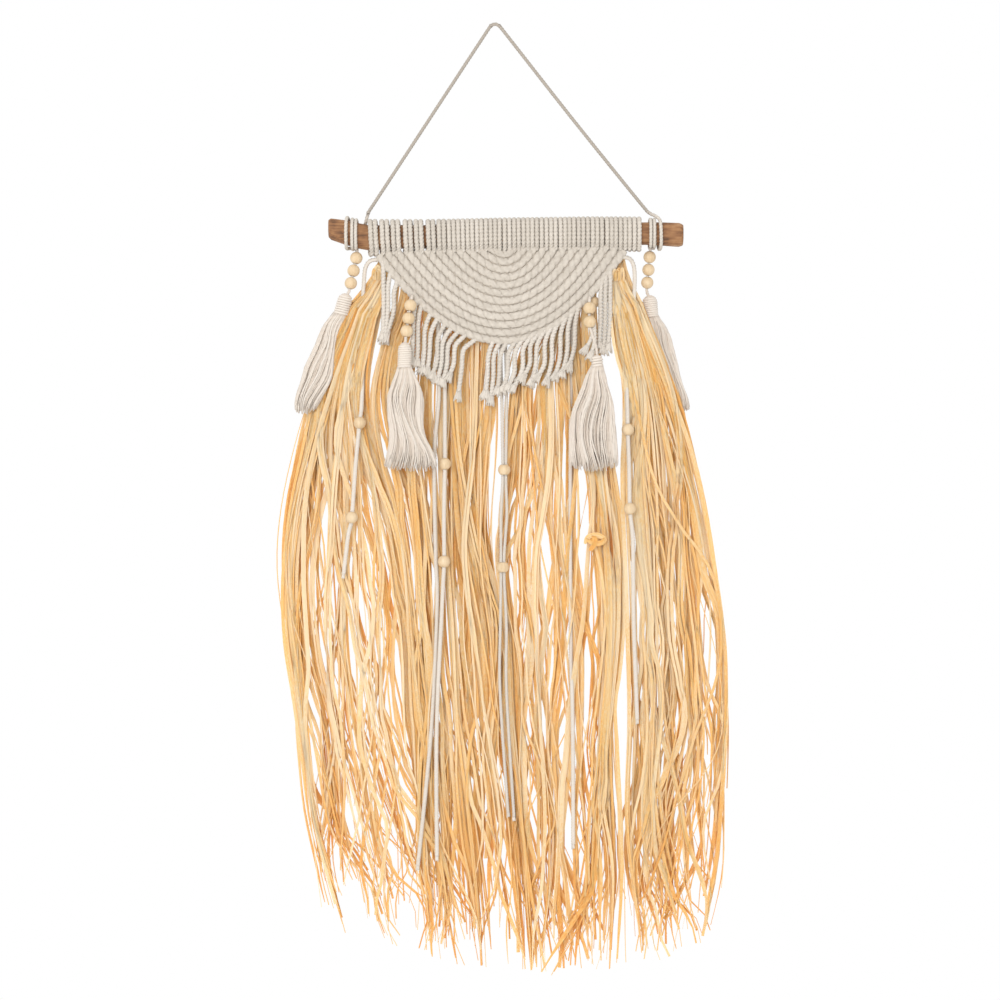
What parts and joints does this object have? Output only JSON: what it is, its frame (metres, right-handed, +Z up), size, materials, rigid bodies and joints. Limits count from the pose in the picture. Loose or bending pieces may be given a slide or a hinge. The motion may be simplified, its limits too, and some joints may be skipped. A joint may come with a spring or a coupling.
{
  "type": "macrame wall hanging on a wooden stick",
  "caption": "Half-round knotted cotton wall hanging on a wooden stick, with beaded tassels, a short cotton fringe, long raffia and a cord to hang it by.",
  "frame": {"origin": "the underside of the hanging cord at its peak, where a nail holds it", "axes": "+X along the stick towards its right end as seen from the front, +Y towards the wall behind, +Z up"},
  "size_m": [0.3978, 0.038, 0.8415],
  "materials": {
    "stick_wood": "matt, peeled",
    "cotton": "matt, twisted",
    "twine": "matt, twisted",
    "raffia": "satin",
    "bead_wood": "smooth, unvarnished"
  },
  "bodies": {
    "root": {"stick": "stick_wood", "hanger_cord": "twine", "macrame_panel": "cotton", "fringe_bar": "cotton", "raffia_left": "raffia", "raffia_mid_left": "raffia", "raffia_middle": "raffia", "raffia_mid_right": "raffia", "raffia_right": "raffia", "tassel_outer_left": "cotton", "tassel_outer_right": "cotton", "tassel_inner_left": "cotton", "tassel_inner_right": "cotton", "bead_outer_left_1": "bead_wood", "bead_outer_left_2": "bead_wood", "bead_outer_left_3": "bead_wood", "bead_outer_right_1": "bead_wood", "bead_outer_right_2": "bead_wood", "bead_outer_right_3": "bead_wood", "bead_inner_left_1": "bead_wood", "bead_inner_left_2": "bead_wood", "bead_inner_left_3": "bead_wood", "bead_inner_right_1": "bead_wood", "bead_inner_right_2": "bead_wood", "bead_left_1": "bead_wood", "bead_left_2": "bead_wood", "bead_mid_left_1": "bead_wood", "bead_mid_left_2": "bead_wood", "bead_middle_1": "bead_wood", "bead_middle_2": "bead_wood", "bead_right_1": "bead_wood", "bead_right_2": "bead_wood"}
  },
  "joints": []
}
